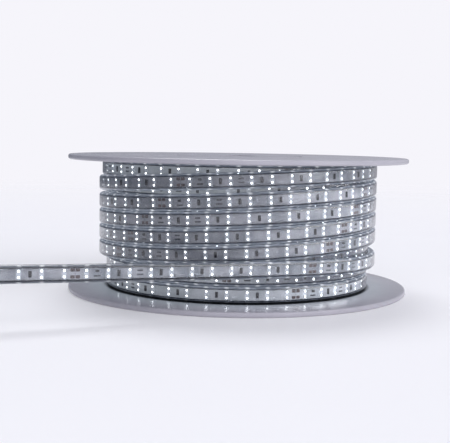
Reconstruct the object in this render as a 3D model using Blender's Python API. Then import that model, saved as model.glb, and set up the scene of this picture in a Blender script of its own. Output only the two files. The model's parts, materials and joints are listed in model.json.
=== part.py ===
"""LED strip light in a clear sleeve, wound on a two-flange reel with its free end standing out.

Units are metres, +Z is up, and the reel stands on its lower flange at z = 0.
The origin is the centre of the whole footprint, so the reel's axis lies beside it.
"""

import math

import bmesh
import bpy

MM = 0.001
TURN = 2 * math.pi

# Strip: clear extruded sleeve around a flexible circuit ribbon
STRIP_WIDTH = 14 * MM
STRIP_THICKNESS = 6.4 * MM
STRIP_EDGE_RADIUS = 2.8 * MM
SLEEVE_SIDE_WALL = 2.2 * MM  # beside the ribbon
SLEEVE_COVER = 1.6 * MM  # in front of the lamps
SLEEVE_BASE = 2.5 * MM  # behind the ribbon
RIBBON_THICKNESS = 0.4 * MM
FIT_CLEARANCE = 0.3 * MM  # between pieces that seat on each other

# Reel: two flat flanges on a drum tube
FLANGE_DIAMETER = 314 * MM
FLANGE_THICKNESS = 4.5 * MM
FLANGE_EDGE = 1.3 * MM  # chamfer that stands for the rounded rim
SPINDLE_BORE = 34 * MM
DRUM_DIAMETER = 110 * MM
DRUM_WALL = 3 * MM
RING_HEIGHT = 4 * MM  # locating ring on each flange, inside the drum tube
RING_WALL = 2.4 * MM

# Winding: hidden layers below, one open layer of turns above
TURNS_PER_LAYER = 8
TURN_SPACE = 0.3 * MM  # between two turns of one layer
HIDDEN_LAYERS = 10
RIDGE_EDGE = 2 * MM  # rounding of a turn in the layers below
OUTER_LAYER_SHIFT = 0.43  # the outer turns ride above the turns below by this share of a pitch
FRONT_SWING = 0.29  # and climb faster at the front than at the back, again as a share of a pitch

# First turn of the outer layer, at the top. Angles are seen from above, from the front.
CLIMB_START = math.radians(-150)  # here it leaves the even winding
CLIMB_END = math.radians(90)  # and here it runs level under the top flange
DIVE_START = math.radians(115)  # then it sinks into the layers below
DIVE_END = math.radians(175)
BUTT_ANGLE = math.radians(200)  # where it meets the turn that it continues

# Free end: leaves the winding at the front and runs off to the left
LEAVE_ANGLE = math.radians(30)
REJOIN_ANGLE = math.radians(290)  # from here on the last turn is evenly wound
LEAVE_DROP = 2 * MM  # how far it hangs below the even winding where it leaves
TAIL_ANGLE = math.radians(23)  # plan angle of the straight part to the front
TAIL_BEND_LENGTH = 100 * MM
TAIL_LENGTH = 300 * MM
TAIL_RISE = 0.024  # height gained for each metre along the tail

# End cap pushed over the free end
CAP_WALL = 0.9 * MM
CAP_DEPTH = 9 * MM
CAP_END = 2.2 * MM
CAP_CORNER = 1.1 * MM

# Fineness of the faceted surfaces
SEGMENTS_PER_TURN = 36
FLANGE_SEGMENTS = 60
CORNER_STEPS = 2
BEND_STEPS = 5
STRAIGHT_STEPS = 5

# Derived sizes
STEP = TURN / SEGMENTS_PER_TURN
PITCH = STRIP_WIDTH + TURN_SPACE
FLANGE_GAP = TURNS_PER_LAYER * PITCH + 2 * FIT_CLEARANCE
LAYER_STEP = STRIP_THICKNESS + FIT_CLEARANCE
HIDDEN_RADIUS = DRUM_DIAMETER / 2 + HIDDEN_LAYERS * LAYER_STEP
OUTER_MIDDLE = HIDDEN_RADIUS + FIT_CLEARANCE + STRIP_THICKNESS / 2
TOP_TURN_FRONT = (TURNS_PER_LAYER - 3) * TURN  # whole turns from the last turn's front to the first's


def row_height(row):
    """Height of the middle of one turn of the layers below, counted from the lower flange."""
    return FLANGE_THICKNESS + FIT_CLEARANCE + (row + 0.5) * PITCH


def smooth_step(value, start, end):
    """0 before start, 1 after end, with a smooth change between."""
    share = min(1, max(0, (value - start) / (end - start)))
    return share * share * (3 - 2 * share)


def smooth_curve(value, start, end, start_height, end_height, start_slope, end_slope):
    """A cubic between two points that keeps the slope given at each of them."""
    span = end - start
    share = (value - start) / span
    square, cube = share**2, share**3
    return (
        (2 * cube - 3 * square + 1) * start_height
        + (cube - 2 * square + share) * start_slope * span
        + (3 * square - 2 * cube) * end_height
        + (cube - square) * end_slope * span
    )


def even_height(angle):
    """Height of the evenly wound outer turns. Angle 0 is the front of the lowest one."""
    pitches = 1 + OUTER_LAYER_SHIFT + angle / TURN + FRONT_SWING * math.sin(angle)
    return row_height(0) + pitches * PITCH


def even_slope(angle):
    return (1 / TURN + FRONT_SWING * math.cos(angle)) * PITCH


def turn_height(angle):
    """Height of the strip's middle anywhere on the outer layer."""
    climb_start = TOP_TURN_FRONT + CLIMB_START
    climb_end = TOP_TURN_FRONT + CLIMB_END
    if angle < REJOIN_ANGLE:
        return smooth_curve(
            angle,
            LEAVE_ANGLE,
            REJOIN_ANGLE,
            even_height(LEAVE_ANGLE) - LEAVE_DROP,
            even_height(REJOIN_ANGLE),
            -TAIL_RISE * OUTER_MIDDLE,
            even_slope(REJOIN_ANGLE),
        )
    if angle < climb_start:
        return even_height(angle)
    return smooth_curve(
        min(angle, climb_end),
        climb_start,
        climb_end,
        even_height(climb_start),
        row_height(TURNS_PER_LAYER - 1),
        even_slope(climb_start),
        0,
    )


def turn_radius(angle, lead=0):
    """Radius of the strip's middle. It sinks by one layer at the back of the first turn."""
    sunk = smooth_step(angle + lead, TOP_TURN_FRONT + DIVE_START, TOP_TURN_FRONT + DIVE_END)
    return OUTER_MIDDLE - LAYER_STEP * sunk


def winding_station(angle, lead=0):
    """Place and outward direction of the strip's middle on the winding."""
    out = (math.sin(angle), -math.cos(angle))
    radius = turn_radius(angle, lead)
    return (radius * out[0], radius * out[1], turn_height(angle)), out


def tail_station(length):
    """Place and outward direction at this length along the free end, counted from the winding."""
    bend = min(length, TAIL_BEND_LENGTH)
    change = (TAIL_ANGLE - LEAVE_ANGLE) / TAIL_BEND_LENGTH
    pieces = 24
    x = OUTER_MIDDLE * math.sin(LEAVE_ANGLE)
    y = -OUTER_MIDDLE * math.cos(LEAVE_ANGLE)
    for piece in range(pieces):
        heading = LEAVE_ANGLE + change * bend * (piece + 0.5) / pieces
        x -= math.cos(heading) * bend / pieces
        y -= math.sin(heading) * bend / pieces
    heading = LEAVE_ANGLE + change * bend
    x -= math.cos(heading) * (length - bend)
    y -= math.sin(heading) * (length - bend)
    z = turn_height(LEAVE_ANGLE) + TAIL_RISE * length
    return (x, y, z), (math.sin(heading), -math.cos(heading))


def winding_angles(start, end):
    """Angles from start to end, on the facets of the turned layers below wherever they can be."""
    whole = [index * STEP for index in range(math.ceil(start / STEP), math.floor(end / STEP) + 1)]
    between = [angle for angle in whole if start + STEP / 3 < angle < end - STEP / 3]
    return [start] + between + [end]


def strip_stations(end_gap=0):
    """The strip's whole route, from the free end's tip back to where it joins the layers below."""
    straight = TAIL_LENGTH - end_gap - TAIL_BEND_LENGTH
    lengths = [TAIL_BEND_LENGTH + straight * step / STRAIGHT_STEPS for step in range(STRAIGHT_STEPS, 0, -1)]
    lengths += [TAIL_BEND_LENGTH * step / BEND_STEPS for step in range(BEND_STEPS, 0, -1)]
    angles = winding_angles(LEAVE_ANGLE, TOP_TURN_FRONT + BUTT_ANGLE)
    return [tail_station(length) for length in lengths] + [winding_station(angle) for angle in angles]


def place(station, out, up):
    """World place of a point of the cross-section at one station of the route."""
    (x, y, z), (out_x, out_y) = station
    return (x + out * out_x, y + out * out_y, z + up)


def rounded_section(width, thickness, radius):
    """Corner points of a rounded bar, as (outward, up), anticlockwise seen from the free end."""
    radius = min(radius, 0.49 * width, 0.49 * thickness)
    points = []
    for corner in range(4):
        turn = corner * math.pi / 2
        side_out = 1 if corner in (0, 3) else -1
        side_up = 1 if corner in (0, 1) else -1
        for step in range(CORNER_STEPS + 1):
            angle = turn + step * math.pi / 2 / CORNER_STEPS
            out = side_out * (thickness / 2 - radius) + radius * math.cos(angle)
            up = side_up * (width / 2 - radius) + radius * math.sin(angle)
            points.append((out, up))
    return points


def rectangle_section(width, low, high):
    """Corner points of a plain bar between two outward distances."""
    half = width / 2
    return [(high, -half), (high, half), (low, half), (low, -half)]


def channel_section():
    low = SLEEVE_BASE - STRIP_THICKNESS / 2
    high = STRIP_THICKNESS / 2 - SLEEVE_COVER
    return rectangle_section(STRIP_WIDTH - 2 * SLEEVE_SIDE_WALL, low, high)


def ribbon_section():
    low = SLEEVE_BASE - STRIP_THICKNESS / 2 + FIT_CLEARANCE
    width = STRIP_WIDTH - 2 * SLEEVE_SIDE_WALL - 2 * FIT_CLEARANCE
    return rectangle_section(width, low, low + RIBBON_THICKNESS)


def swept_rings(mesh, stations, sections):
    """One ring of vertices for each station, joined by side faces."""
    rings = []
    for station, section in zip(stations, sections):
        rings.append([mesh.verts.new(place(station, out, up)) for out, up in section])
    for near, far in zip(rings, rings[1:]):
        for index in range(len(near)):
            after = (index + 1) % len(near)
            mesh.faces.new((near[index], near[after], far[after], far[index]))
    return rings


def ring_edges(mesh, ring):
    neighbours = zip(ring, ring[1:] + ring[:1])
    return [mesh.edges.get((one, other)) for one, other in neighbours]


def swept_bar(stations, sections, hollow=None):
    """A closed bar along the route, or a tube open at both ends when it has a hollow section."""
    mesh = bmesh.new()
    outer = swept_rings(mesh, stations, sections)
    inner = swept_rings(mesh, stations, [hollow] * len(stations)) if hollow else None
    for end in (0, -1):
        if hollow:
            rim = ring_edges(mesh, outer[end]) + ring_edges(mesh, inner[end])
            bmesh.ops.triangle_fill(mesh, edges=rim, use_beauty=True)
        else:
            mesh.faces.new(outer[end])
    bmesh.ops.recalc_face_normals(mesh, faces=mesh.faces)
    return mesh


def turned(profile, segments):
    """A ring-shaped solid: the closed profile of (radius, height) points spun about the Z axis."""
    mesh = bmesh.new()
    verts = [mesh.verts.new((0, -radius, height)) for radius, height in profile]
    edges = [mesh.edges.new(pair) for pair in zip(verts, verts[1:] + verts[:1])]
    bmesh.ops.spin(
        mesh,
        geom=verts + edges,
        cent=(0, 0, 0),
        axis=(0, 0, 1),
        angle=TURN,
        steps=segments,
        use_merge=True,
    )
    bmesh.ops.remove_doubles(mesh, verts=mesh.verts, dist=1e-6)
    bmesh.ops.recalc_face_normals(mesh, faces=mesh.faces)
    return mesh


def material(name, colour, roughness, metallic=0.0):
    made = bpy.data.materials.new(name)
    made.use_nodes = True
    shader = made.node_tree.nodes["Principled BSDF"]
    shader.inputs["Base Color"].default_value = (*colour, 1)
    shader.inputs["Roughness"].default_value = roughness
    shader.inputs["Metallic"].default_value = metallic
    return made


def add_object(name, mesh, finish, parent, smooth_angle=30):
    data = bpy.data.meshes.new(name)
    mesh.to_mesh(data)
    mesh.free()
    if finish:
        data.materials.append(finish)
    data.shade_smooth()
    data.set_sharp_from_angle(angle=math.radians(smooth_angle))
    made = bpy.data.objects.new(name, data)
    bpy.context.scene.collection.objects.link(made)
    made.parent = parent
    return made


def flange_profile():
    """A disc with a softened rim, a spindle bore and a locating ring on its inner face."""
    radius = FLANGE_DIAMETER / 2
    bore = SPINDLE_BORE / 2
    ring_out = DRUM_DIAMETER / 2 - DRUM_WALL - FIT_CLEARANCE
    ring_in = ring_out - RING_WALL
    top = FLANGE_THICKNESS
    return [
        (bore, 0),
        (radius - FLANGE_EDGE, 0),
        (radius, FLANGE_EDGE),
        (radius, top - FLANGE_EDGE),
        (radius - FLANGE_EDGE, top),
        (ring_out, top),
        (ring_out, top + RING_HEIGHT),
        (ring_in, top + RING_HEIGHT),
        (ring_in, top),
        (bore, top),
    ]


def make_flanges(parent):
    """Two like mouldings that face each other."""
    finish = material("flange_plastic", (0.70, 0.70, 0.74), 0.38)
    add_object("bottom_flange", turned(flange_profile(), FLANGE_SEGMENTS), finish, parent)
    top = add_object("top_flange", turned(flange_profile(), FLANGE_SEGMENTS), finish, parent)
    top.rotation_euler = (math.pi, 0, 0)
    top.location.z = 2 * FLANGE_THICKNESS + FLANGE_GAP


def make_drum(parent):
    """The tube that the winding starts on, seated round both locating rings."""
    outer = DRUM_DIAMETER / 2
    inner = outer - DRUM_WALL
    low = FLANGE_THICKNESS + FIT_CLEARANCE
    high = FLANGE_THICKNESS + FLANGE_GAP - FIT_CLEARANCE
    profile = [(inner, low), (outer, low), (outer, high), (inner, high)]
    finish = material("drum_board", (0.55, 0.50, 0.43), 0.8)
    add_object("drum_tube", turned(profile, SEGMENTS_PER_TURN), finish, parent)


def inner_layers_profile():
    """One body for the hidden layers, with the turns of the uppermost of them on its outside."""
    inner = DRUM_DIAMETER / 2 + FIT_CLEARANCE
    groove = HIDDEN_RADIUS - RIDGE_EDGE
    bottom = row_height(0) - PITCH / 2
    top = row_height(TURNS_PER_LAYER - 1) + PITCH / 2
    points = [(inner, bottom)]
    for row in range(TURNS_PER_LAYER):
        middle = row_height(row)
        points += [
            (groove, middle - PITCH / 2),
            (HIDDEN_RADIUS, middle - PITCH / 2 + RIDGE_EDGE),
            (HIDDEN_RADIUS, middle + PITCH / 2 - RIDGE_EDGE),
        ]
    return points + [(groove, top), (inner, top)]


def dive_pocket(parent):
    """Cutter for the place where the outer strip sinks into the top turn of the layers below."""
    angles = winding_angles(TOP_TURN_FRONT + DIVE_START - STEP, TOP_TURN_FRONT + BUTT_ANGLE)
    stations = [winding_station(angle, lead=STEP) for angle in angles]
    (x, y, z), (out_x, out_y) = stations[-1]
    stations[-1] = (x - out_y * FIT_CLEARANCE, y + out_x * FIT_CLEARANCE, z), (out_x, out_y)
    low = -STRIP_THICKNESS / 2 - FIT_CLEARANCE
    high = STRIP_THICKNESS / 2 + 2 * LAYER_STEP
    bottom = -STRIP_WIDTH / 2 - FIT_CLEARANCE
    section = [(high, bottom), (high, PITCH), (low, PITCH), (low, bottom)]
    cutter = add_object("dive_pocket_cutter", swept_bar(stations, [section] * len(stations)), None, parent)
    cutter.hide_render = True
    cutter.display_type = "WIRE"
    return cutter


def make_inner_layers(parent):
    finish = material("wound_strip", (0.62, 0.64, 0.68), 0.35)
    layers = add_object("inner_layers", turned(inner_layers_profile(), SEGMENTS_PER_TURN), finish, parent)
    pocket = layers.modifiers.new("dive_pocket", "BOOLEAN")
    pocket.operation = "DIFFERENCE"
    pocket.object = dive_pocket(parent)


def make_sleeve(parent):
    """The clear sleeve of the outer turns and the free end, with its channel open at both ends."""
    stations = strip_stations()
    section = rounded_section(STRIP_WIDTH, STRIP_THICKNESS, STRIP_EDGE_RADIUS)
    mesh = swept_bar(stations, [section] * len(stations), channel_section())
    add_object("clear_sleeve", mesh, material("clear_sleeve", (0.80, 0.83, 0.87), 0.12), parent)


def make_ribbon(parent):
    """The flexible circuit that carries the lamps, lying in the channel."""
    stations = strip_stations(end_gap=FIT_CLEARANCE)
    mesh = swept_bar(stations, [ribbon_section()] * len(stations))
    add_object("circuit_ribbon", mesh, material("circuit_ribbon", (0.66, 0.66, 0.64), 0.5), parent)


def cap_outline():
    """Stations and cross-sections of the end cap, from the bottom of the cup round to its tip."""

    def grown(amount):
        sizes = STRIP_WIDTH + 2 * amount, STRIP_THICKNESS + 2 * amount
        return rounded_section(*sizes, STRIP_EDGE_RADIUS + amount)

    wall = FIT_CLEARANCE + CAP_WALL
    cup_end = TAIL_LENGTH + FIT_CLEARANCE
    mouth = TAIL_LENGTH - CAP_DEPTH
    lengths = [cup_end, mouth, mouth, cup_end + CAP_END - CAP_CORNER, cup_end + CAP_END]
    sections = [grown(amount) for amount in (FIT_CLEARANCE, FIT_CLEARANCE, wall, wall, wall - CAP_CORNER)]
    return [tail_station(length) for length in lengths], sections


def make_end_cap(parent):
    """A moulded cup with a rounded outside, pushed over the free end."""
    stations, sections = cap_outline()
    mesh = swept_bar(stations, sections)
    add_object("end_cap", mesh, material("cap_silicone", (0.82, 0.83, 0.84), 0.45), parent)


def reel_axis_place():
    """Where the reel's axis stands, so that the footprint of reel and free end is centred."""
    radius = FLANGE_DIAMETER / 2
    points = [place(station, *point) for station, ring in zip(*cap_outline()) for point in ring]
    low_x = min(-radius, min(point[0] for point in points))
    low_y = min(-radius, min(point[1] for point in points))
    return (-(low_x + radius) / 2, -(low_y + radius) / 2, 0)


def main():
    for old in list(bpy.data.objects):
        bpy.data.objects.remove(old)
    axis = bpy.data.objects.new("reel_axis", None)
    bpy.context.scene.collection.objects.link(axis)
    axis.location = reel_axis_place()
    make_flanges(axis)
    make_drum(axis)
    make_inner_layers(axis)
    make_sleeve(axis)
    make_ribbon(axis)
    make_end_cap(axis)


main()
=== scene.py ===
# %% [markdown]
# # An LED strip light on its reel
# A flat strip of lamps in a clear plastic sleeve is wound on a reel with two flanges. The lamps
# are lit, and the free end of the strip stands out to the left. This lesson dresses a measured
# model of it: each piece is built in place, given its finish, and tied to the body that it rides on.
# Everything is in metres, with Z up. The first cell loads the measured model.

# %% Load the measured model
import json
import math

import bmesh
import bpy
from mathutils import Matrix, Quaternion, Vector

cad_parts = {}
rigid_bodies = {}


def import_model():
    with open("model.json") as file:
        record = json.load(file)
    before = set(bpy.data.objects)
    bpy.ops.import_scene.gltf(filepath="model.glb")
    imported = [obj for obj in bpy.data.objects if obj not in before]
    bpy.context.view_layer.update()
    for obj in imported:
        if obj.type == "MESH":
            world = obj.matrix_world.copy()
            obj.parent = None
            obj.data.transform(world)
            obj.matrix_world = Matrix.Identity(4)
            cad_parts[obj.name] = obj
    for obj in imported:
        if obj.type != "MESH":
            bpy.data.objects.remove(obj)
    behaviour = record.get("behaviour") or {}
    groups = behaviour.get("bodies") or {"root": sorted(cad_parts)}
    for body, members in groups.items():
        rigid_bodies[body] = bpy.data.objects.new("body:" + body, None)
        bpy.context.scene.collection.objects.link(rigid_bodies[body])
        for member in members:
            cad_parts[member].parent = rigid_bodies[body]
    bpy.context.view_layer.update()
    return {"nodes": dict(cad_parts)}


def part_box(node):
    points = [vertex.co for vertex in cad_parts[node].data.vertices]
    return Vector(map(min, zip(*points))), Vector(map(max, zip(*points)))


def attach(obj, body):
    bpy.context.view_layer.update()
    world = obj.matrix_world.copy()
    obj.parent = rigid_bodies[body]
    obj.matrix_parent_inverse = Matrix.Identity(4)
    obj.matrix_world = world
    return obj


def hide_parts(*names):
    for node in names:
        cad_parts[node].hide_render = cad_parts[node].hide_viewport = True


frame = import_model()

# %% [markdown]
# The sizes below are those of the real object. The reel's axis is read from the lower flange: a
# place typed in by eye would drift as soon as the measured model changed. The strip is 14 mm wide,
# its lamps sit in pairs, and its circuit comes back every twelve pairs, where it may be cut.

# %% Sizes
MM = 0.001
TURN = 2 * math.pi

low_corner, high_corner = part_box("bottom_flange")
AXIS = ((low_corner[0] + high_corner[0]) / 2, (low_corner[1] + high_corner[1]) / 2)
REEL_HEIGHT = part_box("top_flange")[1][2]
FLANGE_RADIUS = 157 * MM
FLANGE_THICKNESS = 4.5 * MM
CLEARANCE = 0.3 * MM
STRIP_WIDTH = 14 * MM
STRIP_THICKNESS = 6.4 * MM
TURNS_PER_LAYER = 8
TURN_SPACE = 0.3 * MM
PITCH = STRIP_WIDTH + TURN_SPACE
HIDDEN_LAYERS = 10
LAYER_STEP = STRIP_THICKNESS + CLEARANCE
DRUM_RADIUS = 55 * MM
HIDDEN_RADIUS = DRUM_RADIUS + HIDDEN_LAYERS * LAYER_STEP
OUTER_MIDDLE = HIDDEN_RADIUS + CLEARANCE + STRIP_THICKNESS / 2
LAMP_PITCH = 16.8 * MM
PAIR_HALF = 2.35 * MM  # from the middle of the strip to a lamp
PAIRS_PER_UNIT = 12
UNIT = PAIRS_PER_UNIT * LAMP_PITCH
FIRST_MARK = 98.7 * MM  # from the free end to the first cut mark
MARK_BELOW = math.radians(31)  # where the lowest turn below has a cut mark
CAP_DEPTH = 9 * MM
END_MARGIN = 4 * MM  # bare ribbon at the far end of a route
print("reel axis at", [round(value, 4) for value in AXIS], "winding radius", round(OUTER_MIDDLE, 4))

# %% [markdown]
# The outer turns don't lie in the grooves of the turns below. They climb across the front, run
# nearly level round the back, and leave gaps that show the layer underneath. Blender's own spiral
# curve can only climb evenly, so the height is a function of the angle here, counted from the front
# of the lowest turn and seen from above. A cubic between two angles joins stretches without a kink.


# %% The route of the outer layer
def smooth_step(value, start, end):
    share = min(1, max(0, (value - start) / (end - start)))
    return share * share * (3 - 2 * share)


def smooth_curve(value, start, end, heights, slopes):
    span = end - start
    share = (value - start) / span
    square, cube = share**2, share**3
    return (
        (2 * cube - 3 * square + 1) * heights[0]
        + (cube - 2 * square + share) * slopes[0] * span
        + (3 * square - 2 * cube) * heights[1]
        + (cube - square) * slopes[1] * span
    )


def row_height(row):
    return FLANGE_THICKNESS + CLEARANCE + (row + 0.5) * PITCH


TOP_TURN = (TURNS_PER_LAYER - 3) * TURN
LEAVE, REJOIN = math.radians(30), math.radians(290)
CLIMB_START, CLIMB_END = TOP_TURN - math.radians(150), TOP_TURN + math.radians(90)
DIVE_START, DIVE_END = TOP_TURN + math.radians(115), TOP_TURN + math.radians(175)
BUTT = TOP_TURN + math.radians(200)
LAYER_SHIFT, FRONT_SWING = 0.43, 0.29
TAIL_RISE = 0.024
LEAVE_DROP = 2 * MM


def even_height(angle):
    return row_height(0) + (1 + LAYER_SHIFT + angle / TURN + FRONT_SWING * math.sin(angle)) * PITCH


def even_slope(angle):
    return (1 / TURN + FRONT_SWING * math.cos(angle)) * PITCH


def outer_height(angle):
    if angle < REJOIN:
        heights = even_height(LEAVE) - LEAVE_DROP, even_height(REJOIN)
        slopes = -TAIL_RISE * OUTER_MIDDLE, even_slope(REJOIN)
        return smooth_curve(angle, LEAVE, REJOIN, heights, slopes)
    if angle < CLIMB_START:
        return even_height(angle)
    heights = even_height(CLIMB_START), row_height(TURNS_PER_LAYER - 1)
    slopes = even_slope(CLIMB_START), 0
    return smooth_curve(min(angle, CLIMB_END), CLIMB_START, CLIMB_END, heights, slopes)


def on_winding(angle, radius, height):
    return (AXIS[0] + radius * math.sin(angle), AXIS[1] - radius * math.cos(angle), height)


ROUTE_STEP = math.radians(2.5)


def outer_turns():
    count = round((BUTT - LEAVE) / ROUTE_STEP)
    for index in range(count + 1):
        angle = LEAVE + (BUTT - LEAVE) * index / count
        sunk = LAYER_STEP * smooth_step(angle, DIVE_START, DIVE_END)
        yield on_winding(angle, OUTER_MIDDLE - sunk, outer_height(angle))


print("the outer layer climbs from", round(outer_height(LEAVE), 4), "to", round(outer_height(BUTT), 4))

# %% [markdown]
# The free end leaves the winding at the right of the front, loses a little of its curl over the
# first 100 mm, and then runs straight to the left and towards the viewer. It is 300 mm long. A
# hand-drawn curve could do this too, but short steps along a turning heading keep the length exact.

# %% The route of the free end
TAIL_ANGLE = math.radians(23)
TAIL_BEND = 100 * MM
TAIL_LENGTH = 300 * MM
TAIL_STEP = 5 * MM


def free_end():
    x, y, z = on_winding(LEAVE, OUTER_MIDDLE, outer_height(LEAVE))
    points = []
    for index in range(1, round(TAIL_LENGTH / TAIL_STEP) + 1):
        middle = min((index - 0.5) * TAIL_STEP, TAIL_BEND)
        heading = LEAVE + (TAIL_ANGLE - LEAVE) * middle / TAIL_BEND
        x -= math.cos(heading) * TAIL_STEP
        y -= math.sin(heading) * TAIL_STEP
        z += TAIL_RISE * TAIL_STEP
        points.append((x, y, z))
    return points[::-1]


print("the free end stops at", [round(value, 4) for value in free_end()[0]])

# %% [markdown]
# Under the outer layer lies the next one. Its turns are level and step down to the next row on the
# right, each step a little later than the last, as strip does when it is wound under tension. At
# the bottom the strip sinks below itself. A stack of rings would look the same from the front, but
# would show no steps between the rows from the side.

# %% The route of the layer below
STEP_ANGLE = math.radians(50)
FIRST_STEP, LAST_STEP = math.radians(80), math.radians(105)
SINK_START, SINK_END = math.radians(82), math.radians(112)
RUN_OUT = math.radians(10)
ROWS_BELOW = TURNS_PER_LAYER - 1
LOOSE, LOOSE_ANGLE = 4 * MM, math.radians(48)  # its first stretch is wound loosely, by this much
LOOSE_END = TOP_TURN + math.radians(322)


def looseness(angle):
    rising = smooth_step(angle, BUTT, BUTT + LOOSE_ANGLE)
    return rising * smooth_step(-angle, -LOOSE_END, LOOSE_ANGLE - LOOSE_END)


def inner_turns():
    last_turn = TOP_TURN + TURNS_PER_LAYER * TURN
    end = last_turn + SINK_END + RUN_OUT
    count = round((end - BUTT) / ROUTE_STEP)
    for index in range(count + 1):
        angle = BUTT + (end - BUTT) * index / count
        height = row_height(ROWS_BELOW)
        for step in range(1, ROWS_BELOW + 1):
            start = FIRST_STEP + (LAST_STEP - FIRST_STEP) * (step - 1) / (ROWS_BELOW - 1)
            start += TOP_TURN + step * TURN
            height -= PITCH * smooth_step(angle, start, start + STEP_ANGLE)
        sunk = LAYER_STEP * (1 + smooth_step(angle, last_turn + SINK_START, last_turn + SINK_END))
        sunk -= LOOSE * looseness(angle)
        yield on_winding(angle, OUTER_MIDDLE - sunk, height)


print("the layer below has", ROWS_BELOW, "steps of", round(math.degrees(STEP_ANGLE)), "degrees")

# %% [markdown]
# A curve object holds each route. The strip could be drawn with the curve's own bevel, but then no
# lamp could ride in it. So each piece is made straight and flat, as the real strip is, and a Curve
# modifier bends it along the route. Twist mode Z-Up keeps it on edge all the way round.


# %% Route curves
def deselect():
    if bpy.context.object and bpy.context.object.mode != "OBJECT":
        bpy.ops.object.mode_set(mode="OBJECT")
    bpy.ops.object.select_all(action="DESELECT")


def route_curve(name, points):
    data = bpy.data.curves.new(name, "CURVE")
    data.dimensions = "3D"
    data.twist_mode = "Z_UP"
    data.use_radius = False
    spline = data.splines.new("POLY")
    spline.points.add(len(points) - 1)
    for point, place in zip(spline.points, points):
        point.co = (*place, 1)
    curve = bpy.data.objects.new(name, data)
    bpy.context.scene.collection.objects.link(curve)
    length = sum((Vector(b) - Vector(a)).length for a, b in zip(points, points[1:]))
    print(name, "is", round(length, 3), "m long with", len(points), "points")
    return curve, length


outer_route, outer_length = route_curve("outer_route", free_end() + list(outer_turns()))
inner_route, inner_length = route_curve("inner_route", list(inner_turns()))

mark_below = (TOP_TURN + TURNS_PER_LAYER * TURN + MARK_BELOW - BUTT) * (OUTER_MIDDLE - LAYER_STEP)
mark_below -= int(mark_below / UNIT) * UNIT  # the same mark, counted back to the start of the route


def first_pair(mark):
    """The first lamp pair that stands clear of the start, counted back from a cut mark."""
    pairs_back = int((mark - CAP_DEPTH - LAMP_PITCH) / LAMP_PITCH + 0.5)
    return mark - LAMP_PITCH / 2 - pairs_back * LAMP_PITCH


FIRST_PAIR = {"outer_route": first_pair(FIRST_MARK), "inner_route": first_pair(mark_below)}
print("first lamp pairs at", {name: round(place, 4) for name, place in FIRST_PAIR.items()})

# %% [markdown]
# Shader sums are easier to read as Python than as a list of links. The class below wraps a socket,
# so that adding or multiplying two of them adds the Math node that does it.


# %% A small language for shaders
class Signal:
    """One output socket, ready for sums."""

    def __init__(self, shader, socket):
        self.shader, self.socket = shader, socket

    def math(self, operation, *values):
        return self.shader.node("Math", {"operation": operation}, dict(enumerate(values)))

    def __add__(self, other):
        return self.math("ADD", self, other)

    def __sub__(self, other):
        return self.math("SUBTRACT", self, other)

    def __rsub__(self, other):
        return self.math("SUBTRACT", other, self)

    def __mul__(self, other):
        return self.math("MULTIPLY", self, other)

    def __abs__(self):
        return self.math("ABSOLUTE", self)

    def nearest(self, spacing):
        """The distance to the nearest multiple of a spacing."""
        return self.math("PINGPONG", self, spacing / 2)

    __radd__ = __add__
    __rmul__ = __mul__


class Shader:
    """One finish: a material with its Principled shader."""

    def __init__(self, name, **constants):
        self.material = bpy.data.materials.new(name)
        self.material.use_nodes = True
        self.tree = self.material.node_tree
        self.surface = self.tree.nodes["Principled BSDF"]
        self.set(**constants)

    def node(self, kind, settings=None, inputs=None, output=0):
        made = self.tree.nodes.new("ShaderNode" + kind)
        for name, value in (settings or {}).items():
            if name == "stops":
                ramp = made.color_ramp.elements
                while len(ramp) < len(value):
                    ramp.new(0.5)
                for stop, (place, shade) in zip(ramp, value):
                    stop.position, stop.color = place, (*shade, 1)
            else:
                setattr(made, name, value)
        for name, value in (inputs or {}).items():
            self.feed(made.inputs[name], value)
        return Signal(self, made.outputs[output])

    def feed(self, socket, value):
        """Links a signal to a socket, or sets the socket's own value."""
        if isinstance(value, Signal):
            self.tree.links.new(value.socket, socket)
        else:
            socket.default_value = (*value, 1) if socket.type == "RGBA" else value

    def set(self, **values):
        for name, value in values.items():
            title = name.replace("_", " ").title().replace("Ior", "IOR")
            self.feed(self.surface.inputs[title], value)

    def straight(self, axis=None):
        """The place on the strip before it was bent: along, through and across."""
        place = self.node("Attribute", {"attribute_name": "straight"}, output=1)
        return place if axis is None else self.node("SeparateXYZ", None, {0: place}, output=axis)

    def mix(self, factor, one, other):
        return self.node("Mix", {"data_type": "RGBA"}, {0: factor, 6: one, 7: other}, output=2)

    def place(self, axis=None):
        """The place on the finished piece, in metres."""
        place = self.node("TexCoord", output=3)
        return place if axis is None else self.node("SeparateXYZ", None, {0: place}, output=axis)

    def fade(self, value, start, end, low=0.0, high=1.0):
        """Runs softly from low to high while the value goes from start to end."""
        sockets = {"Value": value, 1: start, 2: end, 3: low, 4: high}
        return self.node("MapRange", {"interpolation_type": "SMOOTHSTEP"}, sockets)

    def vector(self, operation, *values, output=0):
        return self.node("VectorMath", {"operation": operation}, dict(enumerate(values)), output)

    def from_axis(self):
        """How far a point is from the reel's axis, seen from above."""
        level = self.vector("MULTIPLY_ADD", self.place(), (1, 1, 0), (-AXIS[0], -AXIS[1], 0))
        return self.vector("LENGTH", level, output=1)

    def noise(self, scale, detail=2, where=None):
        sockets = {"Vector": where or self.place(), "Scale": scale, "Detail": detail}
        return self.node("TexNoise", None, sockets)

    def bump(self, height, distance):
        return self.node("Bump", None, {"Height": height, "Distance": distance, "Strength": 1.0})


print("shader sums can use", ", ".join(name for name in vars(Shader) if not name.startswith("_")))

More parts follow.
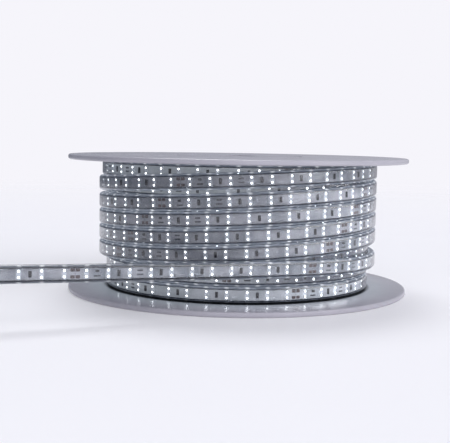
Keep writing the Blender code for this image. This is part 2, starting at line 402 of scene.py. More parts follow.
# %% [markdown]
# The flanges are satin moulded plastic: a pale lavender grey with a very fine grain, slightly
# uneven in gloss, as handled mouldings are. The noise reads Object coordinates, so it stays put.
# On the inner face of the lower flange, painted shade draws a dark line where the winding rests,
# and painted light, a faint cold glow, stands in for the lamps' light on the plastic around it.
# Traced light alone would need far more samples to show both, so they are painted in by the
# distance from the reel's axis.

# %% Flange finish
BLACK = (0, 0, 0)
# Painted shade: the dark line on the lower flange reaches between these two radii.
PAINTED_SHADE_OUTER = HIDDEN_RADIUS + 3.5 * MM
PAINTED_SHADE_INNER = HIDDEN_RADIUS - 0.5 * MM
flange_finish = Shader("flange_plastic", specular_ior_level=0.6)
mottle = flange_finish.noise(35, 4)
grain = flange_finish.noise(2200, 2)
tone = flange_finish.mix(mottle, (0.35, 0.345, 0.39), (0.41, 0.40, 0.45))
# Painted shade: a near-black line on the inner face of the lower flange, at the foot of the winding.
painted_shade_under_strip = flange_finish.fade(flange_finish.from_axis(), PAINTED_SHADE_OUTER, PAINTED_SHADE_INNER)
height = flange_finish.place(2)
inner_face = flange_finish.fade(height, FLANGE_THICKNESS - 0.5 * MM, FLANGE_THICKNESS)
inner_face = inner_face * flange_finish.fade(height, REEL_HEIGHT / 2, FLANGE_THICKNESS + 8 * MM)
painted_shade_under_strip = painted_shade_under_strip * inner_face
# Painted light: the flange plastic glows faintly and coldly round the winding, in place of the lamps'
# light.
painted_light_reach = flange_finish.fade(flange_finish.from_axis(), FLANGE_RADIUS, HIDDEN_RADIUS + 2 * MM)
painted_lamp_light = inner_face * painted_light_reach * (1 - painted_shade_under_strip)
flange_finish.set(
    base_color=flange_finish.mix(painted_shade_under_strip, tone, (0.03, 0.035, 0.045)),
    roughness=mottle * 0.08 + 0.19,
    emission_color=flange_finish.mix(painted_lamp_light, BLACK, (0.72, 0.92, 1.0)),
    emission_strength=0.10,
    normal=flange_finish.bump(grain, 0.02 * MM),
)
print(flange_finish.material.name, "has", len(flange_finish.tree.nodes), "nodes")

# %% [markdown]
# The sleeve is clear soft plastic, so its front is plain glass to the renderer, with a faint
# long-wave bump for the unevenness of the extrusion. Its thick side walls are another matter: on
# the real strip they carry the lamps' light round inside them, as bright and dark bands with a
# bright dot beside each lamp. Glass alone would need a very long render to show that, so it is
# painted light and painted shade: a second shader, which glows faintly in such bands, with a
# painted bright dot beside each lamp, is mixed in on the sides, by the distance from the strip's
# middle line. The free end has no neighbours that light it, so its painted bands are dimmer.

# %% Painted light in bands on the sleeve's sides
FRONT_HALF = 4.4 * MM  # the flat clear front reaches this far from the middle line
WALL_END = STRIP_WIDTH / 2
sleeve_finish = Shader(
    "clear_sleeve",
    base_color=(0.90, 0.94, 0.98),
    roughness=0.04,
    transmission_weight=1.0,
    ior=1.45,
    specular_ior_level=0.3,
)
waves = sleeve_finish.vector("MULTIPLY", sleeve_finish.straight(), (35, 90, 90))
ripple = sleeve_finish.bump(sleeve_finish.noise(1, 1, waves), 0.03 * MM)
sleeve_finish.set(normal=ripple)
swirls = sleeve_finish.vector("MULTIPLY", sleeve_finish.straight(), (140, 420, 420))
swirl = (sleeve_finish.noise(1, 3, swirls) - 0.5) * 1.6 * MM
from_middle = abs(sleeve_finish.straight(2)) + swirl
band_place = sleeve_finish.node("MapRange", None, {"Value": from_middle, 1: FRONT_HALF, 2: WALL_END})
# Painted light and painted shade: the tones of the bands, from the flat front out to the wall's edge.
band_stops = (
    (0.0, (0.02, 0.025, 0.04)),
    (0.22, (0.03, 0.035, 0.055)),
    (0.34, (0.20, 0.225, 0.28)),
    (0.60, (0.15, 0.18, 0.22)),
    (0.76, (0.50, 0.54, 0.64)),
    (0.92, (0.14, 0.17, 0.22)),
)
bands = sleeve_finish.node("ValToRGB", {"stops": band_stops}, {0: band_place})
beside_pair = sleeve_finish.fade(sleeve_finish.straight(0).nearest(LAMP_PITCH), 2.8 * MM, 0.2 * MM)
past_bevel = sleeve_finish.fade(from_middle, 5.2 * MM, 6.0 * MM)
before_end = sleeve_finish.fade(from_middle, WALL_END, 6.4 * MM)
dots = beside_pair * past_bevel * before_end * sleeve_finish.noise(1, 1, waves)
# Painted light: the bands, with a painted bright dot beside each lamp, make the side walls' glow.
painted_side_light = sleeve_finish.mix(dots, bands, (1.4, 1.45, 1.5))
print("the bands have", len(band_stops), "tones")

# %% [markdown]
# Three shaders meet in the sleeve: clear plastic on the front, the wall with its painted light bands
# on the sides, and a grey sheen where the front is seen at a grazing angle, which a Layer Weight node
# finds. Where the lowest turn stands on the flange, painted shade takes the wall's painted light to
# black.

# %% Sleeve finish
above_flange = sleeve_finish.place(2)
# Painted shade: just above the lower flange the side walls' painted light goes to black.
painted_shade_at_foot = sleeve_finish.fade(above_flange, FLANGE_THICKNESS + 1.4 * MM, FLANGE_THICKNESS + 2.8 * MM)
# Painted shade: the free end, away from the winding, gets less of the painted light.
free = sleeve_finish.fade(sleeve_finish.from_axis(), 130 * MM, 150 * MM, 0.0, 0.45)
painted_side_light = sleeve_finish.mix(painted_shade_at_foot, BLACK, painted_side_light)
painted_side_light = sleeve_finish.mix(free, painted_side_light, BLACK)
# The side walls' base colour carries the same painted light and painted shade, dimmer.
dim_painted_light = sleeve_finish.mix(0.6, painted_side_light, BLACK)
front = sleeve_finish.fade(from_middle, FRONT_HALF, 4.2 * MM)
grazing = sleeve_finish.fade(sleeve_finish.node("LayerWeight", None, {"Blend": 0.5}, output=1), 0.62, 0.93)
side_wall = sleeve_finish.node("BsdfPrincipled", None, {
    "Base Color": sleeve_finish.mix(front, dim_painted_light, (0.95, 0.92, 1.0)),
    "Roughness": 0.15,
    "Normal": ripple,
    "Emission Color": painted_side_light,
    "Emission Strength": 0.42,
})
sheen = sleeve_finish.node("BsdfPrincipled", None, {
    "Base Color": (0.17, 0.17, 0.19),
    "Roughness": 0.15,
    "Normal": ripple,
})
clear = Signal(sleeve_finish, sleeve_finish.surface.outputs[0])
sides = sleeve_finish.fade(from_middle, 4.3 * MM, 4.8 * MM, 0.02, 0.9)
surface = sleeve_finish.node("MixShader", None, {0: sides, 1: clear, 2: side_wall})
surface = sleeve_finish.node("MixShader", None, {0: grazing * front * 0.85, 1: surface, 2: sheen})
sleeve_finish.feed(sleeve_finish.tree.nodes["Material Output"].inputs[0], surface)
print(sleeve_finish.material.name, "has", len(sleeve_finish.tree.nodes), "nodes")

# %% [markdown]
# The flexible circuit is pale solder mask over copper, cloudy in tone, with brighter solder round
# each lamp pair. The ribbon of the layer below gets painted light, a faint cold glow for the light
# that comes through the outer turns, apart from a stretch on the right that they cover, which gets
# painted shade, a dark slate grey. One material does both: the distance from the axis tells the two
# layers apart. Two materials would have to be kept alike by hand.

# %% Ribbon finish
ribbon_finish = Shader("circuit_ribbon", roughness=0.42, emission_strength=0.16)
cloud = ribbon_finish.fade(ribbon_finish.noise(45, 3), 0.3, 0.7)
mask = ribbon_finish.mix(cloud, (0.19, 0.20, 0.22), (0.43, 0.41, 0.43))
solder = ribbon_finish.fade(ribbon_finish.straight(0).nearest(LAMP_PITCH), 2.2 * MM, 1.4 * MM)
mask = ribbon_finish.mix(solder * 0.7, mask, (0.75, 0.75, 0.78))
below = ribbon_finish.fade(ribbon_finish.from_axis(), OUTER_MIDDLE - 1 * MM, OUTER_MIDDLE - 4 * MM)
to_the_right = ribbon_finish.fade(ribbon_finish.place(0), AXIS[0] - 10 * MM, AXIS[0] + 70 * MM)
above_lowest = ribbon_finish.fade(ribbon_finish.place(2), 18 * MM, 24 * MM)
# Painted shade: the stretch of the layer below that the outer turns cover, on the right, is dark.
painted_shade_covered = below * to_the_right * above_lowest
# Painted light: the rest of the layer below gives off a faint cold glow.
ribbon_finish.set(
    base_color=ribbon_finish.mix(painted_shade_covered * 0.85, mask, (0.04, 0.05, 0.09)),
    emission_color=ribbon_finish.mix(below * (1 - painted_shade_covered), BLACK, (0.9, 0.95, 1.0)),
    normal=ribbon_finish.bump(ribbon_finish.noise(900), 0.02 * MM),
)
print(ribbon_finish.material.name, "has", len(ribbon_finish.tree.nodes), "nodes")

# %% [markdown]
# Lamp housings are white, resistors are black with tinned ends, cut pads are bare copper gone dark,
# and the print is a dark ink. The drum is board and the cap is silicone. All of these vary a little
# in tone and gloss over a fine relief, so one function makes them from a dark and a light tone.


# %% Finishes of the small parts
def worked(name, dark, light, scale, roughness, relief, **constants):
    """A finish whose tone and gloss vary a little, over a fine relief."""
    finish = Shader(name, **constants)
    tone = finish.noise(scale, 3)
    finish.set(base_color=finish.mix(tone, dark, light), roughness=tone * 0.16 + (roughness - 0.08),
               normal=finish.bump(finish.noise(scale * 5), relief))
    return finish


housing_finish = worked("lamp_housing", (0.55, 0.55, 0.57), (0.75, 0.75, 0.77), 900, 0.4, 0.01 * MM)
resistor_finish = worked(
    "resistor_body", (0.003, 0.003, 0.004), (0.008, 0.008, 0.010), 1500, 0.5, 0.003 * MM,
    specular_ior_level=0.1,
)
tin_finish = worked(
    "tinned_end", (0.10, 0.10, 0.10), (0.20, 0.195, 0.195), 1200, 0.35, 0.03 * MM, metallic=1.0
)
pad_finish = worked(
    "solder_pad", (0.035, 0.02, 0.017), (0.10, 0.05, 0.045), 1100, 0.4, 0.03 * MM, metallic=0.3
)
ink_finish = worked("printed_ink", (0.02, 0.02, 0.024), (0.05, 0.05, 0.055), 1800, 0.6, 0.01 * MM)
drum_finish = worked("drum_board", (0.38, 0.31, 0.24), (0.52, 0.44, 0.35), 260, 0.85, 0.15 * MM)
cap_finish = worked("cap_silicone", (0.70, 0.71, 0.73), (0.80, 0.81, 0.83), 180, 0.45, 0.05 * MM)
print("small parts are finished in", housing_finish.material.name, "and six more finishes")

# %% [markdown]
# A lit lamp is brightest at its middle. The glow falls off with the distance to the nearest lamp,
# which is worked out from the place on the straight strip. A real light in each window would mean
# more than a thousand lights, so the window itself gives off the light.

# %% Lamp window
window_finish = Shader("lamp_window", base_color=(1.0, 0.98, 0.9), roughness=0.5, emission_strength=18.0)
LAMP_LIGHT = (0.97, 0.98, 1.0)


def from_lamp(along, across):
    """The distance to the middle of the nearest lamp, from the places along and across the strip."""
    off = abs(abs(across) - PAIR_HALF)
    return along.math("SQRT", along * along + off * off)


to_lamp = from_lamp(window_finish.straight(0).nearest(LAMP_PITCH), window_finish.straight(2))
glow = window_finish.fade(to_lamp, 0.1 * MM, 1.05 * MM, 1.0, 0.1)
window_finish.set(emission_color=window_finish.mix(glow * glow, BLACK, LAMP_LIGHT))
print("a lamp pair comes every", LAMP_PITCH, "m, each lamp", PAIR_HALF, "m from the middle")

# %% [markdown]
# Deeper layers show only as glints through the gaps. They are one plain body, so their finish draws
# what is seen there: rows of a ribbon, a cloudy edge between two rows, and lamps at the same
# pitch, found from the angle round the reel. Modelling them would add thousands of hidden parts.

# %% Finish of the deeper layers
core_finish = Shader("deeper_layers", roughness=0.3, emission_strength=2.0)
turned = core_finish.vector("ADD", core_finish.place(), (-AXIS[0], -AXIS[1], -row_height(0)))
turned_x, turned_y, above = (
    core_finish.node("SeparateXYZ", None, {0: turned}, output=axis) for axis in range(3)
)
across = above.nearest(PITCH)
round_the_reel = above.math("ARCTAN2", turned_x, turned_y) * (HIDDEN_RADIUS - LAYER_STEP)
to_lamp = from_lamp(round_the_reel.nearest(LAMP_PITCH), across)
lamp_glow = core_finish.fade(to_lamp, 1.3 * MM, 0.8 * MM)
edge = core_finish.fade(across, 4.3 * MM, 5.0 * MM)
edge_tone = core_finish.mix(core_finish.noise(300, 3), (0.12, 0.14, 0.17), (0.40, 0.44, 0.50))
core_finish.set(
    base_color=core_finish.mix(edge, (0.28, 0.28, 0.30), edge_tone),
    emission_color=core_finish.mix(lamp_glow, BLACK, LAMP_LIGHT),
)
print("finishes:", ", ".join(material.name for material in bpy.data.materials))

# %% [markdown]
# The next helpers are used for every piece. In edit mode, elements are selected by their place or
# normal, because a script has no mouse to click them with. A finished piece keeps its shape in its
# mesh, and its object stays at the origin, so that patterns on Object coordinates stay where they
# are. The vector attribute "straight" notes where each point was before the strip was bent.


# %% Helpers for modelling
def pick(kind, test):
    """Selects the vertices, edges or faces of the edited mesh that pass the test."""
    bpy.ops.mesh.select_mode(type=kind)
    bpy.ops.mesh.select_all(action="DESELECT")
    shape = bmesh.from_edit_mesh(bpy.context.edit_object.data)
    for element in {"VERT": shape.verts, "EDGE": shape.edges, "FACE": shape.faces}[kind]:
        element.select_set(bool(test(element)))
    bmesh.update_edit_mesh(bpy.context.edit_object.data)


def along(edge, axis):
    direction = edge.verts[1].co - edge.verts[0].co
    return abs(direction[axis]) > 0.99 * direction.length


def box(name, size, middle):
    """A new box of this size, ready in edit mode."""
    deselect()
    bpy.ops.mesh.primitive_cube_add(size=1, location=middle, scale=size)
    piece = bpy.context.object
    piece.name = name
    bpy.ops.object.transform_apply(location=True, rotation=True, scale=True)
    bpy.ops.object.mode_set(mode="EDIT")
    return piece


def close_edit():
    bpy.ops.object.mode_set(mode="OBJECT")


def repeat(piece, count, offset, merge=False):
    """Copies a piece along a straight line, inside its own mesh."""
    array = piece.modifiers.new("repeat", "ARRAY")
    array.count = count
    array.use_relative_offset = False
    array.use_constant_offset = True
    array.constant_offset_displace = offset
    array.use_merge_vertices = merge
    array.merge_threshold = 0.01 * MM
    bpy.context.view_layer.objects.active = piece
    bpy.ops.object.modifier_apply(modifier=array.name)


def bend(piece, route):
    """Notes each point's place on the straight strip, from its first lamp pair on, then bends the piece."""
    noted = piece.data.attributes.new("straight", "FLOAT_VECTOR", "POINT")
    for vertex, note in zip(piece.data.vertices, noted.data):
        note.vector = vertex.co - Vector((FIRST_PAIR[route.name], 0, 0))
    curve = piece.modifiers.new("bend", "CURVE")
    curve.object = route
    curve.deform_axis = "POS_X"
    bpy.context.view_layer.objects.active = piece
    bpy.ops.object.modifier_apply(modifier=curve.name)


def finish_piece(piece, shader, replaced=(), angle=30):
    """Smooths, finishes and ties a piece to the reel, in place of the measured nodes named."""
    deselect()
    piece.select_set(True)
    bpy.context.view_layer.objects.active = piece
    bpy.ops.object.shade_smooth_by_angle(angle=math.radians(angle))
    if shader:
        piece.data.materials.clear()
        piece.data.materials.append(shader.material)
    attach(piece, "root")
    if replaced:
        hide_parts(*replaced)
    triangles = sum(len(face.vertices) - 2 for face in piece.data.polygons)
    print(piece.name, "has", triangles, "triangles")


def is_round(face, side=0):
    """Whether a face is one of the flat round ends, facing up for side 1 and down for side -1."""
    return len(face.verts) > 8 and (not side or face.normal.z * side > 0.9)


def is_level(edge):
    return abs(edge.verts[0].co.z - edge.verts[1].co.z) < MM / 10


print("helpers are ready for", len(frame["nodes"]), "measured nodes")

# %% [markdown]
# A flange is a moulded disc. It could be spun from a profile, but a cylinder primitive gives the
# disc at once: its two rims are bevelled round, and the flat faces are inset to the spindle bore,
# deleted there and bridged. On the inner side a narrow ring is extruded up: it fits inside the drum
# tube. A shallow groove on the outer side marks the ring. The upper flange is the same moulding,
# turned over.

# %% Flanges
FLANGE_SIDES = 192
RIM_RADIUS = 1.6 * MM
BORE_RADIUS = 17 * MM
RING_OUTER, RING_WALL, RING_HEIGHT = DRUM_RADIUS - 3.3 * MM, 2.4 * MM, 4 * MM
GROOVE_OUTER, GROOVE_WIDTH, GROOVE_DEPTH = 60 * MM, 3 * MM, 0.5 * MM


def make_flange(name, upside_down):
    deselect()
    middle = (*AXIS, FLANGE_THICKNESS / 2)
    bpy.ops.mesh.primitive_cylinder_add(
        vertices=FLANGE_SIDES, radius=FLANGE_RADIUS, depth=FLANGE_THICKNESS, location=middle
    )
    piece = bpy.context.object
    piece.name = name
    bpy.ops.object.transform_apply(location=True, rotation=True, scale=True)
    bpy.ops.object.mode_set(mode="EDIT")
    pick("EDGE", is_level)
    bpy.ops.mesh.bevel(offset=RIM_RADIUS, segments=5, affect="EDGES")
    for side, outer, width in ((1, RING_OUTER, RING_WALL), (-1, GROOVE_OUTER, GROOVE_WIDTH)):
        pick("FACE", lambda face: is_round(face, side))
        flat = FLANGE_RADIUS - RIM_RADIUS
        for radius in (outer, outer - width, BORE_RADIUS):
            bpy.ops.mesh.inset(thickness=flat - radius)
            flat = radius
    pick("FACE", is_round)
    bpy.ops.mesh.delete(type="FACE")
    pick("EDGE", lambda edge: edge.is_boundary)
    bpy.ops.mesh.bridge_edge_loops()

    def between(face, inner, outer, up):
        reach = math.hypot(*(face.calc_center_median().xy - Vector(AXIS)))
        return inner < reach < outer and face.normal.z * up > 0.9

    pick("FACE", lambda face: between(face, RING_OUTER - RING_WALL, RING_OUTER, 1))
    bpy.ops.mesh.extrude_region_move(TRANSFORM_OT_translate={"value": (0, 0, RING_HEIGHT)})
    pick("FACE", lambda face: between(face, GROOVE_OUTER - GROOVE_WIDTH, GROOVE_OUTER, -1))
    bpy.ops.mesh.extrude_region_move(TRANSFORM_OT_translate={"value": (0, 0, GROOVE_DEPTH)})
    if upside_down:
        bpy.ops.mesh.select_all(action="SELECT")
        bpy.ops.transform.resize(value=(1, 1, -1), center_override=(*AXIS, REEL_HEIGHT / 2))
        bpy.ops.mesh.select_all(action="SELECT")
        bpy.ops.mesh.normals_make_consistent(inside=False)
    close_edit()
    finish_piece(piece, flange_finish, ["top_flange" if upside_down else "bottom_flange"])


make_flange("lower_flange_disc", False)
make_flange("upper_flange_disc", True)

# %% [markdown]
# The drum tube can only be seen through the spindle hole. Its measured solid already has the right
# shape, so it stays and only gets its finish: wound board.


# %% Drum tube
def refinish(node, shader):
    """Gives a measured solid a better finish."""
    materials = frame["nodes"][node].data.materials
    materials.clear()
    materials.append(shader.material)
    print(node, "is finished in", shader.material.name)


refinish("drum_tube", drum_finish)

# %% [markdown]
# The layers below the two visible ones are one core. Real strip would be wasted there, so a
# cylinder as high as one turn gets rounded rims and a bore, and is repeated once for each turn.

# %% Core of the winding
CORE_RADIUS = HIDDEN_RADIUS - LAYER_STEP
CORE_SIDES = 144
CORE_EDGE = 2 * MM
deselect()
bpy.ops.mesh.primitive_cylinder_add(
    vertices=CORE_SIDES, radius=CORE_RADIUS, depth=STRIP_WIDTH, location=(*AXIS, row_height(0))
)
core = bpy.context.object
core.name = "deeper_layers"
bpy.ops.object.transform_apply(location=True, rotation=True, scale=True)
bpy.ops.object.mode_set(mode="EDIT")
pick("EDGE", is_level)
bpy.ops.mesh.bevel(offset=CORE_EDGE, segments=3, affect="EDGES")
for side in (1, -1):
    pick("FACE", lambda face: is_round(face, side))
    bpy.ops.mesh.inset(thickness=CORE_RADIUS - CORE_EDGE - DRUM_RADIUS - CLEARANCE)
pick("FACE", is_round)
bpy.ops.mesh.delete(type="FACE")
pick("EDGE", lambda edge: edge.is_boundary)
bpy.ops.mesh.bridge_edge_loops()
close_edit()
repeat(core, TURNS_PER_LAYER, (0, 0, PITCH))
finish_piece(core, core_finish, ["inner_layers"])

# %% [markdown]
# The sleeve is extruded, so it has one section all along. It starts as one short straight slice: a
# box with its long edges rounded, open at both ends, and a smaller box turned inside out for the
# channel. The slice is repeated to the length of the route and bent along it, and the two ends are
# filled. Weighted normals keep the flat front flat in the light, between its rounded edges.

# %% Sleeves
SLICE = 5.4 * MM
EDGE_RADIUS = 2.8 * MM
CHANNEL_RADIUS = 0.6 * MM
SIDE_WALL, COVER, BASE = 2.2 * MM, 1.6 * MM, 2.5 * MM
CHANNEL_WIDTH = STRIP_WIDTH - 2 * SIDE_WALL
CHANNEL_FRONT = COVER - STRIP_THICKNESS / 2
CHANNEL_BACK = STRIP_THICKNESS / 2 - BASE


def open_slice(name, front, back, width, radius=0, segments=1):
    """A short straight tube along X, open at its ends. Its front is at the low end of Y."""
    piece = box(name, (SLICE, back - front, width), (SLICE / 2, (front + back) / 2, 0))
    if radius:
        pick("EDGE", lambda edge: along(edge, 0))
        bpy.ops.mesh.bevel(offset=radius, segments=segments, affect="EDGES")
    pick("FACE", lambda face: abs(face.normal.x) > 0.9)
    bpy.ops.mesh.delete(type="ONLY_FACE")
    return piece


def run_along(piece, route, length):
    """Repeats a slice to the route's length, bends it and fills its ends."""
    slices = round(length / SLICE)
    repeat(piece, slices, (SLICE, 0, 0), merge=True)
    for vertex in piece.data.vertices:
        vertex.co.x *= length / (slices * SLICE)
    bpy.ops.object.mode_set(mode="EDIT")
    for middle in (0, length):
        pick("EDGE", lambda edge: edge.is_boundary and abs(edge.verts[0].co.x - middle) < MM)
        bpy.ops.mesh.fill()
    bpy.ops.mesh.select_all(action="SELECT")
    bpy.ops.mesh.normals_make_consistent(inside=False)
    close_edit()
    bend(piece, route)


def make_sleeve(name, route, length, replaced):
    channel = open_slice("channel", CHANNEL_FRONT, CHANNEL_BACK, CHANNEL_WIDTH, CHANNEL_RADIUS, 2)
    bpy.ops.mesh.select_all(action="SELECT")
    bpy.ops.mesh.flip_normals()
    half = STRIP_THICKNESS / 2
    sleeve = open_slice(name, -half, half, STRIP_WIDTH, EDGE_RADIUS, 5)
    close_edit()
    channel.select_set(True)
    bpy.ops.object.join()
    run_along(sleeve, route, length)
    finish_piece(sleeve, sleeve_finish, replaced, angle=50)
    flats = sleeve.modifiers.new("keep flats flat", "WEIGHTED_NORMAL")
    flats.keep_sharp = True
    bpy.ops.object.modifier_apply(modifier=flats.name)


make_sleeve("outer_sleeve", outer_route, outer_length, ["clear_sleeve"])
make_sleeve("inner_sleeve", inner_route, inner_length, [])

# %% [markdown]
# The circuit is a thin ribbon that lies loose on the channel's floor. A single sheet of faces would
# do from the front, but from behind it shows its thickness, so it is made as the sleeve was.

# %% Circuit ribbons
RIBBON_WIDTH = 9 * MM
RIBBON_FRONT = CHANNEL_BACK - 0.7 * MM
RIBBON_BACK = CHANNEL_BACK - 0.3 * MM


def make_ribbon(name, route, length, replaced):
    ribbon = open_slice(name, RIBBON_FRONT, RIBBON_BACK, RIBBON_WIDTH)
    close_edit()
    run_along(ribbon, route, length)
    finish_piece(ribbon, ribbon_finish, replaced)


make_ribbon("outer_ribbon", outer_route, outer_length, ["circuit_ribbon"])
make_ribbon("inner_ribbon", inner_route, inner_length, [])

# %% [markdown]
# A lamp is a small white housing with a glowing window. The housing is a box with bevelled
# corners; its front face is inset and pushed in a little, and that face is the window. Two lamps
# make a pair. Because a lamp is repeated hundreds of times, it has only a few dozen faces, and the
# pair is modelled once and copied along the strip by an Array modifier.

# %% Lamps
LAMP_SIZE = (2.3 * MM, 0.8 * MM, 2.5 * MM)
LAMP_CORNER = 0.7 * MM
WINDOW_INSET, WINDOW_DEPTH = 0.3 * MM, 0.12 * MM


def make_lamp(height):
    lamp = box("lamp", LAMP_SIZE, (0, RIBBON_FRONT - LAMP_SIZE[1] / 2, height))
    lamp.data.materials.append(housing_finish.material)
    lamp.data.materials.append(window_finish.material)
    pick("EDGE", lambda edge: along(edge, 1))
    bpy.ops.mesh.bevel(offset=LAMP_CORNER, segments=2, affect="EDGES")
    pick("FACE", lambda face: face.normal.y < -0.9)
    bpy.ops.mesh.inset(thickness=WINDOW_INSET)
    bpy.ops.mesh.extrude_region_move(TRANSFORM_OT_translate={"value": (0, WINDOW_DEPTH, 0)})
    lamp.active_material_index = 1
    bpy.ops.object.material_slot_assign()
    close_edit()
    return lamp


def make_lamps(name, route, length):
    first = FIRST_PAIR[route.name]
    upper, lower = make_lamp(PAIR_HALF), make_lamp(-PAIR_HALF)
    upper.select_set(True)
    bpy.ops.object.join()
    lower.name = name
    for vertex in lower.data.vertices:
        vertex.co.x += first
    repeat(lower, int((length - END_MARGIN - first) / LAMP_PITCH) + 1, (LAMP_PITCH, 0, 0))
    bend(lower, route)
    finish_piece(lower, None, angle=40)


make_lamps("outer_lamps", outer_route, outer_length)
make_lamps("inner_lamps", inner_route, inner_length)

# %% [markdown]
# Between the lamps lie low boxes with softened edges: resistors, a small diode, bare pads and
# printed marks. They could be drawn in the ribbon's material, but real boxes keep their thickness
# and gloss from the side. A resistor is cut near both ends, so that its ends can be tinned.

# %% A resistor and other chips
RESISTOR_SIZE = (2.3 * MM, 0.55 * MM, 5.0 * MM)
TIN_START = 2.3 * MM  # from the resistor's middle
CHIP_CORNER = 0.22  # the share of the shorter side that a corner takes


def make_chip(name, size, place, shader):
    """A low box on the ribbon with softened edges."""
    chip = box(name, size, (place[0], RIBBON_FRONT - size[1] / 2, place[1]))
    chip.data.materials.append(shader.material)
    pick("EDGE", lambda edge: along(edge, 1))
    bpy.ops.mesh.bevel(offset=CHIP_CORNER * min(size[0], size[2]), segments=2, affect="EDGES")
    close_edit()
    return chip


def make_resistor(place):
    resistor = make_chip("resistor", RESISTOR_SIZE, place, resistor_finish)
    resistor.data.materials.append(tin_finish.material)
    bpy.ops.object.mode_set(mode="EDIT")
    for height in (TIN_START, -TIN_START):
        bpy.ops.mesh.select_all(action="SELECT")
        bpy.ops.mesh.bisect(plane_co=(0, 0, place[1] + height), plane_no=(0, 0, 1))
    pick("FACE", lambda face: abs(face.calc_center_median().z - place[1]) > TIN_START)
    resistor.active_material_index = 1
    bpy.ops.object.material_slot_assign()
    close_edit()
    return resistor


print("a resistor is", RESISTOR_SIZE[0], "m wide and", RESISTOR_SIZE[2], "m long")

# %% [markdown]
# The same parts come back every twelve pairs: four pads with a dashed line where the strip may be
# cut, a diode over a printed bar, two more printed bars, and five resistors. One unit of the
# circuit is modelled, copied along the strip, and cut back at both ends, as real strip is.

# %% Parts between the lamps
PAD_SIZE = (3.4 * MM, 0.06 * MM, 2.5 * MM)
DASH_SIZE = (0.35 * MM, 0.05 * MM, 0.8 * MM)
DIODE_SIZE = (2.8 * MM, 0.7 * MM, 1.7 * MM)
PRINT_THICKNESS, PRINT_HEIGHT = 0.05 * MM, 1.3 * MM
RESISTOR_PAIRS = (2, 4, 6, 8, 10)  # counted from the cut mark
PRINTED_BARS = ((1, -2.0, 5.4), (3, 1.6, 4.4), (3, -1.5, 5.2))  # pairs, height and width in mm


def make_unit(mark):
    """The chips and marks of one unit, from the cut mark on."""
    pieces = [make_resistor((mark + count * LAMP_PITCH, 0)) for count in RESISTOR_PAIRS]
    for side in (-1, 1):
        for height in (-1, 1):
            where = (mark + side * 2.0 * MM, height * 2.6 * MM)
            pieces.append(make_chip("pad", PAD_SIZE, where, pad_finish))
    for height in (-1.4, 0, 1.4):
        pieces.append(make_chip("dash", DASH_SIZE, (mark, height * MM), ink_finish))
    pieces.append(make_chip("diode", DIODE_SIZE, (mark + LAMP_PITCH, 1.7 * MM), resistor_finish))
    for count, height, width in PRINTED_BARS:
        where = (mark + count * LAMP_PITCH, height * MM)
        size = (width * MM, PRINT_THICKNESS, PRINT_HEIGHT)
        pieces.append(make_chip("print", size, where, ink_finish))
    return pieces


def make_parts(name, route, length, first_mark):
    pieces = make_unit(first_mark)
    deselect()
    for piece in pieces:
        piece.select_set(True)
    parts = pieces[0]
    bpy.context.view_layer.objects.active = parts
    bpy.ops.object.join()
    parts.name = name
    repeat(parts, int((length - first_mark) / UNIT) + 2, (UNIT, 0, 0))
    bpy.ops.object.mode_set(mode="EDIT")
    pick("VERT", lambda vertex: not CAP_DEPTH < vertex.co.x < length - END_MARGIN)
    bpy.ops.mesh.select_linked()
    bpy.ops.mesh.delete(type="VERT")
    close_edit()
    bend(parts, route)
    finish_piece(parts, None)


make_parts("outer_parts", outer_route, outer_length, FIRST_MARK - UNIT)
make_parts("inner_parts", inner_route, inner_length, mark_below - UNIT)

# %% [markdown]
# The free end is closed by a moulded silicone cap. Its measured solid stays too. The two routes
# have done their work and are removed.

# %% End cap
refinish("end_cap", cap_finish)
for route in (outer_route, inner_route):
    bpy.data.objects.remove(route)

# %% [markdown]
# The floor is a pale disc. A white floor alone would look grey beside a lit backdrop, so it also
# gives off a little light of its own. Far from the object it fades out, and melts into the
# backdrop without a horizon line.

# %% Floor
FLOOR_RADIUS = 6
FADE_START, FADE_END = 0.6, 2.2
deselect()
bpy.ops.mesh.primitive_circle_add(
    vertices=96, radius=FLOOR_RADIUS, fill_type="NGON", location=(0, 0, -0.2 * MM)
)
floor = bpy.context.object
floor.name = "floor"
floor_finish = Shader(
    "floor",
    base_color=(0.58, 0.58, 0.605),
    roughness=0.5,
    specular_ior_level=0.2,
    emission_color=(0.96, 0.955, 1.0),
    emission_strength=0.26,
)
reach = floor_finish.vector("LENGTH", floor_finish.place(), output=1)
fade_out = {"Value": reach, 1: FADE_START, 2: FADE_END, 3: 1.0, 4: 0.0}
floor_finish.set(alpha=floor_finish.node("MapRange", None, fade_out))
floor.data.materials.append(floor_finish.material)
print("the floor fades out between", FADE_START, "and", FADE_END, "m")

# %% [markdown]
# The backdrop is two things at once. The camera sees a plain pale lavender. The object is lit by,
# and mirrors, a studio that is brighter in front than behind, and brighter on the right, because
# smooth plastic is mostly what it mirrors. An even white world would leave the sleeve flat.

# %% Backdrop
bpy.context.scene.view_settings.view_transform = "Standard"
world = bpy.data.worlds.new("studio")
bpy.context.scene.world = world
world.use_nodes = True
backdrop = world.node_tree.nodes["Background"].inputs


def world_node(kind, **settings):
    made = world.node_tree.nodes.new("ShaderNode" + kind)
    for name, value in settings.items():
        setattr(made, name, value)
    return made


seen = world_node("LightPath")
split = world_node("SeparateXYZ")
direction = world_node("TexCoord")
link = world.node_tree.links.new
link(direction.outputs["Generated"], split.inputs[0])


def world_fade(axis, start, end):
    """From 0 to 1 as the direction of view goes from start to end along an axis."""
    fade = world_node("MapRange", interpolation_type="SMOOTHSTEP")
    link(split.outputs[axis], fade.inputs["Value"])
    fade.inputs[1].default_value, fade.inputs[2].default_value = start, end
    return fade.outputs[0]


def world_mix(factor, one, other):
    blend = world_node("Mix", data_type="RGBA")
    for number, value in ((0, factor), (6, one), (7, other)):
        if hasattr(value, "default_value"):
            link(value, blend.inputs[number])
        else:
            blend.inputs[number].default_value = value
    return blend.outputs[2]


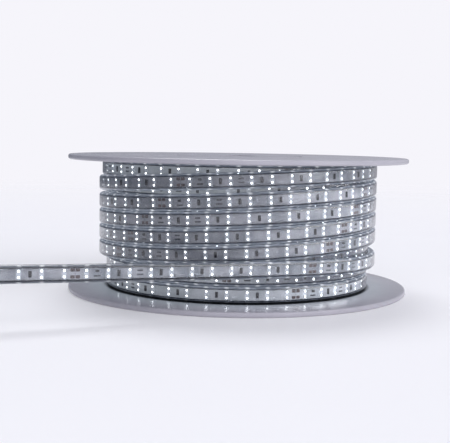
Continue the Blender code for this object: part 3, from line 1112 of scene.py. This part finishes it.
back = world_mix(world_fade("X", -0.4, 0.6), (0.19, 0.21, 0.25, 1), (0.52, 0.52, 0.57, 1))
front = world_mix(world_fade("X", -0.8, 0.4), (0.45, 0.46, 0.50, 1), (1.4, 1.37, 1.47, 1))
room = world_mix(world_fade("Y", 0.1, -0.7), back, front)
shade = world_mix(seen.outputs["Is Camera Ray"], room, (0.921, 0.913, 0.965, 1))
link(shade, backdrop["Color"])
print("the backdrop has", len(world.node_tree.nodes), "nodes")

# %% [markdown]
# Two large soft suns light the reel: one above and behind, which lays the shadow in front of the
# lower flange, and a key from the right. A sun's angle sets how soft its shadow is. The key isn't
# seen in mirrors, where it would burn the glossy flange white. A softbox on the right lights only
# the sleeves, by light linking, because only they show its long bright mirror image.


# %% Lights
def soft_sun(name, side, spread, strength):
    deselect()
    bpy.ops.object.light_add(type="SUN", location=side)
    light = bpy.context.object
    light.name = name
    light.data.angle = math.radians(spread)
    light.data.energy = strength
    light.rotation_euler = (-Vector(side)).to_track_quat("-Z", "Y").to_euler()
    return light


soft_sun("top_light", (-0.1, 0.6, 1), 30, 1.6)
key_light = soft_sun("key_light", (0.85, -0.45, 0.36), 50, 1.2)
key_light.visible_glossy = False

SOFTBOX_PLACE = Vector((AXIS[0] + 1.93, AXIS[1] - 0.52, 0.9))
SOFTBOX_AIM = Vector((*AXIS, 0.1))
SOFTBOX_WIDTH, SOFTBOX_HEIGHT = 2.8, 1.7
deselect()
bpy.ops.object.light_add(type="AREA", location=SOFTBOX_PLACE)
softbox = bpy.context.object
softbox.name = "softbox"
softbox.data.shape = "RECTANGLE"
softbox.data.size, softbox.data.size_y = SOFTBOX_WIDTH, SOFTBOX_HEIGHT
softbox.data.energy = 75
softbox.visible_camera = softbox.visible_diffuse = False
mirrors_softbox = bpy.data.collections.new("mirrors_softbox")
for name in ("outer_sleeve", "inner_sleeve"):
    mirrors_softbox.objects.link(bpy.data.objects[name])
softbox.light_linking.receiver_collection = mirrors_softbox
softbox.rotation_euler = (SOFTBOX_AIM - softbox.location).to_track_quat("-Z", "Y").to_euler()

# %% [markdown]
# The camera stands where the photograph was taken from: low, a little above the reel's rim, and
# turned a hair clockwise. A place found by eye would never make two ellipses fit, so it was solved
# from the outlines of the two flanges.

# %% Camera
CAMERA_PLACE = Vector((AXIS[0], AXIS[1] - 0.8958, 0.14148))
CAMERA_AIM = Vector((AXIS[0] - 0.01149, AXIS[1], 0.06202))
CAMERA_ROLL = 0.016
CAMERA_LENS, CAMERA_SENSOR = 76.42, 36  # both in millimetres
bpy.ops.object.camera_add(location=CAMERA_PLACE)
camera = bpy.context.object
camera.data.lens = CAMERA_LENS
camera.data.sensor_width = CAMERA_SENSOR
look = (CAMERA_AIM - CAMERA_PLACE).to_track_quat("-Z", "Y")
camera.rotation_euler = (look @ Quaternion((0, 0, 1), CAMERA_ROLL)).to_euler()
bpy.context.scene.camera = camera
print("the camera is", round((CAMERA_AIM - CAMERA_PLACE).length, 3), "m from its aim")

# %% [markdown]
